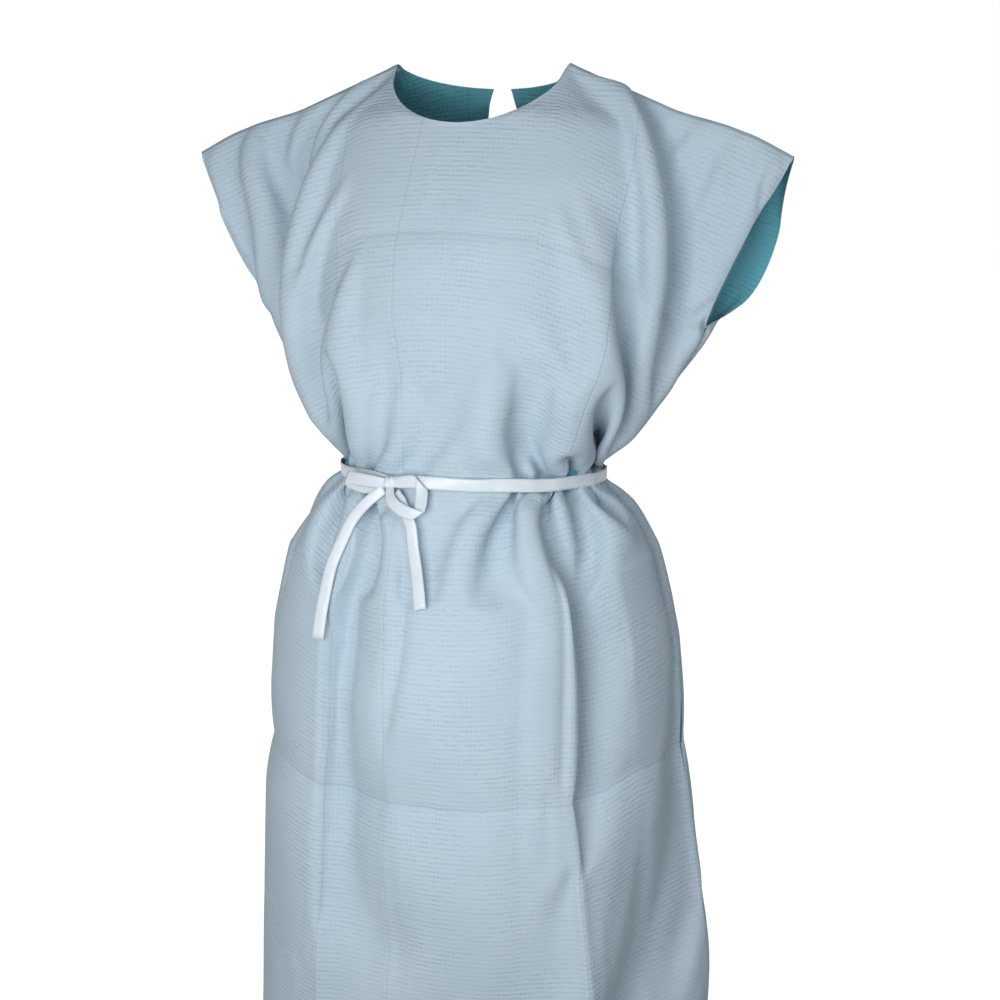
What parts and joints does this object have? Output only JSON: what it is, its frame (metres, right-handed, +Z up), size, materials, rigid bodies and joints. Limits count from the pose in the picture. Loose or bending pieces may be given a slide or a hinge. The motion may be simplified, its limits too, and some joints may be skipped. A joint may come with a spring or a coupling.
{
  "type": "patient gown",
  "caption": "Disposable patient gown of tissue bonded to film, with cap sleeves, an open back and a waist gathered by a film ribbon tied in a bow.",
  "frame": {"origin": "midway between the two neck points of the shoulder line, where shoulders or a hanger carry the gown", "axes": "+Z up, the front of the gown faces -Y, +X is the wearer's left"},
  "size_m": [0.6268, 0.3364, 1.0307],
  "materials": {
    "outer_tissue": "matt light blue crepe tissue, embossed in fine horizontal ribs",
    "barrier_film": "thin milky polyethylene film",
    "inner_tissue": "matt teal tissue, embossed with the outer ply",
    "seam_bond": "dried bond line, matt",
    "belt_film": "milky white film ribbon with soft gloss"
  },
  "bodies": {
    "root": {"front_panel_outer_tissue": "outer_tissue", "front_panel_barrier_film": "barrier_film", "front_panel_inner_tissue": "inner_tissue", "back_left_panel_outer_tissue": "outer_tissue", "back_left_panel_barrier_film": "barrier_film", "back_left_panel_inner_tissue": "inner_tissue", "back_right_panel_outer_tissue": "outer_tissue", "back_right_panel_barrier_film": "barrier_film", "back_right_panel_inner_tissue": "inner_tissue", "left_shoulder_seam": "seam_bond", "left_side_seam": "seam_bond", "right_shoulder_seam": "seam_bond", "right_side_seam": "seam_bond", "belt_band": "belt_film", "belt_knot": "belt_film"},
    "left_sleeve": {"left_sleeve_outer_tissue": "outer_tissue", "left_sleeve_barrier_film": "barrier_film", "left_sleeve_inner_tissue": "inner_tissue", "left_sleeve_seam": "seam_bond"},
    "right_sleeve": {"right_sleeve_outer_tissue": "outer_tissue", "right_sleeve_barrier_film": "barrier_film", "right_sleeve_inner_tissue": "inner_tissue", "right_sleeve_seam": "seam_bond"},
    "back_left_skirt": {"back_left_skirt_outer_tissue": "outer_tissue", "back_left_skirt_barrier_film": "barrier_film", "back_left_skirt_inner_tissue": "inner_tissue"},
    "back_right_skirt": {"back_right_skirt_outer_tissue": "outer_tissue", "back_right_skirt_barrier_film": "barrier_film", "back_right_skirt_inner_tissue": "inner_tissue"},
    "left_bow": {"left_bow_loop": "belt_film", "left_belt_tail": "belt_film"},
    "right_loop": {"right_bow_loop": "belt_film"},
    "right_tail": {"right_belt_tail": "belt_film"}
  },
  "joints": [
    {"name": "left_sleeve_lift", "type": "hinge", "parent": "root", "child": "left_sleeve", "pos_m": [0.2155, 0, -0.047], "axis": [0, -1, 0], "range_deg": [0, 30]},
    {"name": "right_sleeve_lift", "type": "hinge", "parent": "root", "child": "right_sleeve", "pos_m": [-0.2155, 0, -0.047], "axis": [0, 1, 0], "range_deg": [0, 30]},
    {"name": "back_left_skirt_swing", "type": "hinge", "parent": "root", "child": "back_left_skirt", "pos_m": [0.213, 0.014, -0.56], "axis": [0.0595, 0.0255, -0.9979], "range_deg": [0, 35]},
    {"name": "back_right_skirt_swing", "type": "hinge", "parent": "root", "child": "back_right_skirt", "pos_m": [-0.213, 0.014, -0.56], "axis": [0.0595, -0.0255, 0.9979], "range_deg": [0, 35]},
    {"name": "left_bow_swing", "type": "hinge", "parent": "root", "child": "left_bow", "pos_m": [-0.045, -0.122, -0.409], "axis": [-1, 0, 0], "range_deg": [0, 45]},
    {"name": "right_tail_swing", "type": "hinge", "parent": "root", "child": "right_tail", "pos_m": [-0.06, -0.12, -0.408], "axis": [-1, 0, 0], "range_deg": [0, 45]},
    {"name": "right_loop_swing", "type": "hinge", "parent": "root", "child": "right_loop", "pos_m": [-0.061, -0.12, -0.403], "axis": [0, 0, 1], "range_deg": [0, 40]}
  ]
}
